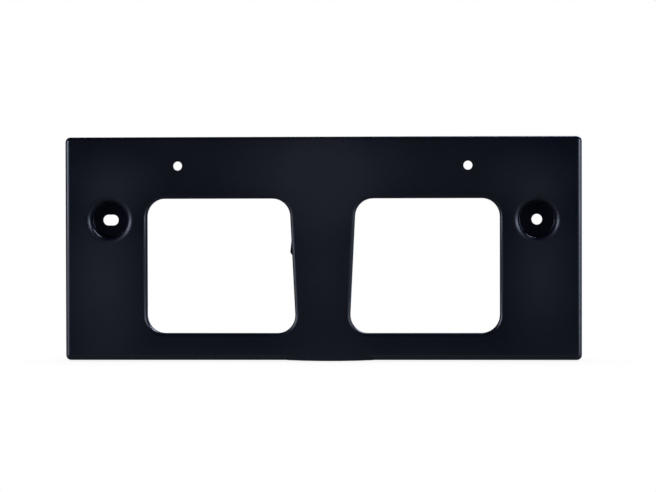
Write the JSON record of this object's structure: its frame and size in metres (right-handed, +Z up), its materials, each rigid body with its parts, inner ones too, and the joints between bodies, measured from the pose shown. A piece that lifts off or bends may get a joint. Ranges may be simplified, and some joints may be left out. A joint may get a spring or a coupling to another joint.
{
  "type": "number plate holder",
  "caption": "Flat black plastic bracket that carries a number plate on a car's front bumper, with large windows, recessed bolt cups and plate screw holes.",
  "frame": {"origin": "midway between the two bumper bolts, on the plane where the bolt cups seat on the bumper", "axes": "+X to the right across the face as seen from in front, +Y from the face back to the bumper, +Z up"},
  "size_m": [0.3172, 0.0137, 0.1378],
  "materials": {
    "black_plastic": "satin, fine moulded grain"
  },
  "bodies": {
    "root": {"plate_bracket": "black_plastic"}
  },
  "joints": []
}
